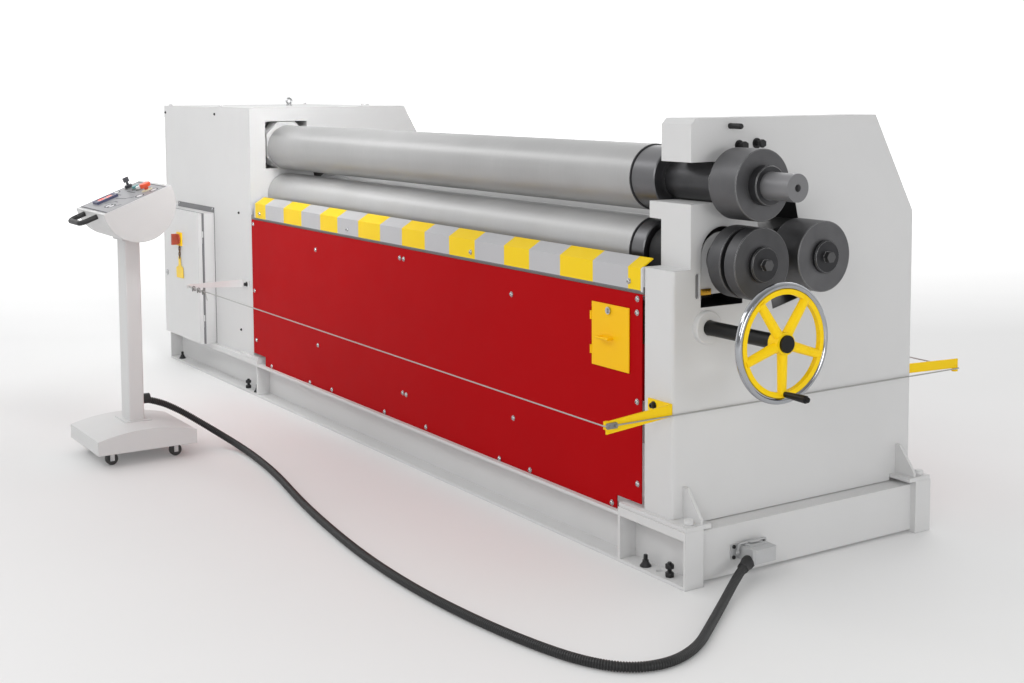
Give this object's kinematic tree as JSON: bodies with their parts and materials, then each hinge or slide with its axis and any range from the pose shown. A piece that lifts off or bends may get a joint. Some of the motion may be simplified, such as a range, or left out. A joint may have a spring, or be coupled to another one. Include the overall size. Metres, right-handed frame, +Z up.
{
  "type": "plate rolling machine",
  "caption": "Motor-driven plate rolling machine with asymmetric rolls, section rolls on the shaft ends, a hand adjustment wheel and a wheeled control stand.",
  "frame": {"origin": "centre of the base frame's footprint on the floor", "axes": "+X along the rolls towards the section rolls, -Y towards the operator, +Z up"},
  "size_m": [4.4615, 2.1768, 1.308],
  "materials": {
    "grey_paint": "satin light grey machine paint",
    "red_paint": "satin red machine paint",
    "yellow_paint": "gloss yellow safety paint",
    "rail_grey": "satin mid-grey paint",
    "cabinet_grey": "satin grey enclosure paint",
    "plate_grey": "matt grey control plate",
    "dark_iron": "oiled dark iron",
    "roll_steel": "ground and polished roll steel",
    "section_steel": "turned dark steel",
    "chrome": "polished chrome",
    "zinc_steel": "zinc-plated steel",
    "die_cast": "powder-coated die casting",
    "black_plastic": "matt black moulding",
    "conduit_plastic": "black corrugated polyamide",
    "blue_plastic": "blue moulded bezel",
    "red_plastic": "red moulding",
    "teal_plastic": "teal moulding",
    "white_plastic": "white moulding",
    "wheel_rubber": "dark caster tread"
  },
  "bodies": {
    "frame": {"base_frame": "grey_paint", "right_side_frame": "grey_paint", "left_side_frame": "grey_paint", "drive_housing": "grey_paint", "front_panel": "red_paint", "rear_panel": "red_paint", "front_rail": "rail_grey", "guard_bar": "rail_grey", "cabinet_body": "cabinet_grey", "keeper_plate": "grey_paint", "lifting_eye": "zinc_steel", "lower_jacks": "dark_iron", "rear_jacks": "dark_iron", "wire_arm_left": "grey_paint", "wire_arm_right": "yellow_paint", "trip_wire": "zinc_steel", "stand_base": "grey_paint", "stand_column": "grey_paint", "stand_head": "grey_paint", "control_plate": "plate_grey", "display_unit": "blue_plastic", "stand_handle": "black_plastic", "caster_forks": "zinc_steel", "connector_base": "die_cast", "connector_hood": "die_cast", "conduit": "conduit_plastic", "conduit_gland": "black_plastic"},
    "top_yoke": {"top_swivel_block": "grey_paint", "top_sleeve": "dark_iron", "top_gearmotor": "dark_iron"},
    "top_roll_body": {"top_roll": "roll_steel", "top_section_roll": "section_steel", "top_collar": "section_steel"},
    "lower_carriage": {"lower_blocks": "dark_iron", "lower_gearmotor": "dark_iron"},
    "lower_roll_body": {"lower_roll": "roll_steel", "lower_section_roll": "section_steel", "lower_cap": "section_steel"},
    "rear_carriage": {"rear_blocks": "dark_iron"},
    "rear_roll_body": {"rear_roll": "roll_steel", "rear_section_roll": "section_steel", "rear_cap": "section_steel"},
    "handwheel_body": {"handwheel": "yellow_paint", "handwheel_rim": "chrome", "cross_shaft": "dark_iron"},
    "grip_body": {"crank_grip": "black_plastic"},
    "rear_shaft_body": {"rear_cross_shaft": "dark_iron"},
    "cabinet_door_body": {"cabinet_door": "grey_paint"},
    "isolator_body": {"isolator_handle": "red_plastic"},
    "lock_body": {"door_lock": "zinc_steel"},
    "access_door_body": {"access_door": "yellow_paint"},
    "latch_body": {"access_latch": "zinc_steel"},
    "emergency_body": {"emergency_stop": "red_plastic"},
    "start_body": {"start_button": "teal_plastic"},
    "stop_body": {"stop_button": "white_plastic"},
    "key_body": {"key_switch": "zinc_steel"},
    "caster_body_a": {"caster_wheel_a": "wheel_rubber"},
    "caster_body_b": {"caster_wheel_b": "wheel_rubber"},
    "caster_body_c": {"caster_wheel_c": "wheel_rubber"},
    "caster_body_d": {"caster_wheel_d": "wheel_rubber"}
  },
  "joints": [
    {"name": "top_roll_swing", "type": "hinge", "parent": "frame", "child": "top_yoke", "pos_m": [-1.022, -0.29, 1.0915], "axis": [0, 0, -1], "range_deg": [0, 6]},
    {"name": "top_roll_spin", "type": "hinge", "parent": "top_yoke", "child": "top_roll_body", "pos_m": [0.3, -0.29, 1.0915], "axis": [1, 0, 0], "continuous": true},
    {"name": "handwheel_turn", "type": "hinge", "parent": "frame", "child": "handwheel_body", "pos_m": [2.23, -0.347, 0.695], "axis": [1, 0, 0], "range_deg": [-1801, 1261]},
    {"name": "grip_spin", "type": "hinge", "parent": "handwheel_body", "child": "grip_body", "pos_m": [2.282, -0.347, 0.5635], "axis": [1, 0, 0], "continuous": true},
    {"name": "lower_roll_lift", "type": "slide", "parent": "frame", "child": "lower_carriage", "axis": [0, 0, 1], "range_m": [-0.02, 0.014]},
    {"name": "lower_roll_spin", "type": "hinge", "parent": "lower_carriage", "child": "lower_roll_body", "pos_m": [0.3, -0.29, 0.88], "axis": [1, 0, 0], "continuous": true},
    {"name": "rear_shaft_turn", "type": "hinge", "parent": "frame", "child": "rear_shaft_body", "pos_m": [0.3, 0.05714, 0.64204], "axis": [1, 0, 0], "range_deg": [-5401, 10801]},
    {"name": "rear_roll_lift", "type": "slide", "parent": "frame", "child": "rear_carriage", "axis": [0, -0.2368, 0.9715], "range_m": [-0.06, 0.12]},
    {"name": "rear_roll_spin", "type": "hinge", "parent": "rear_carriage", "child": "rear_roll_body", "pos_m": [0.3, -0.061, 0.886], "axis": [1, 0, 0], "continuous": true},
    {"name": "cabinet_door_hinge", "type": "hinge", "parent": "frame", "child": "cabinet_door_body", "pos_m": [-1.429, -0.522, 0.467], "axis": [0, 0, 1], "range_deg": [0, 110]},
    {"name": "isolator_turn", "type": "hinge", "parent": "cabinet_door_body", "child": "isolator_body", "pos_m": [-1.68, -0.541, 0.635], "axis": [0, -1, 0], "range_deg": [0, 90]},
    {"name": "door_lock_turn", "type": "hinge", "parent": "cabinet_door_body", "child": "lock_body", "pos_m": [-1.861, -0.541, 0.456], "axis": [0, 1, 0], "range_deg": [0, 90]},
    {"name": "access_door_hinge", "type": "hinge", "parent": "frame", "child": "access_door_body", "pos_m": [1.566, -0.4705, 0.6415], "axis": [0, 0, -1], "range_deg": [0, 100]},
    {"name": "access_latch_turn", "type": "hinge", "parent": "access_door_body", "child": "latch_body", "pos_m": [1.65288, -0.4705, 0.716], "axis": [0, -1, 0], "range_deg": [0, 90]},
    {"name": "emergency_press", "type": "slide", "parent": "frame", "child": "emergency_body", "axis": [0, 0.36, -0.933], "range_m": [0, 0.006], "stiffness_N_per_m": 900},
    {"name": "start_press", "type": "slide", "parent": "frame", "child": "start_body", "axis": [0, 0.36, -0.933], "range_m": [0, 0.004], "stiffness_N_per_m": 500},
    {"name": "stop_press", "type": "slide", "parent": "frame", "child": "stop_body", "axis": [0, 0.36, -0.933], "range_m": [0, 0.004], "stiffness_N_per_m": 500},
    {"name": "key_turn", "type": "hinge", "parent": "frame", "child": "key_body", "pos_m": [-0.392, -1.19429, 0.98006], "axis": [0, -0.36, 0.933], "range_deg": [0, 90]},
    {"name": "caster_spin_a", "type": "hinge", "parent": "frame", "child": "caster_body_a", "pos_m": [-0.374, -1.367, 0.022], "axis": [1, 0, 0], "continuous": true},
    {"name": "caster_spin_b", "type": "hinge", "parent": "frame", "child": "caster_body_b", "pos_m": [-0.374, -1.129, 0.022], "axis": [1, 0, 0], "continuous": true},
    {"name": "caster_spin_c", "type": "hinge", "parent": "frame", "child": "caster_body_c", "pos_m": [-0.144, -1.367, 0.022], "axis": [1, 0, 0], "continuous": true},
    {"name": "caster_spin_d", "type": "hinge", "parent": "frame", "child": "caster_body_d", "pos_m": [-0.144, -1.129, 0.022], "axis": [1, 0, 0], "continuous": true}
  ],
  "couplings": [
    {"joint": "handwheel_turn", "follows": "lower_roll_lift", "rad_per_m": 1570.8},
    {"joint": "lower_roll_spin", "follows": "top_roll_spin", "ratio": -1},
    {"joint": "rear_shaft_turn", "follows": "rear_roll_lift", "rad_per_m": 1570.8}
  ]
}
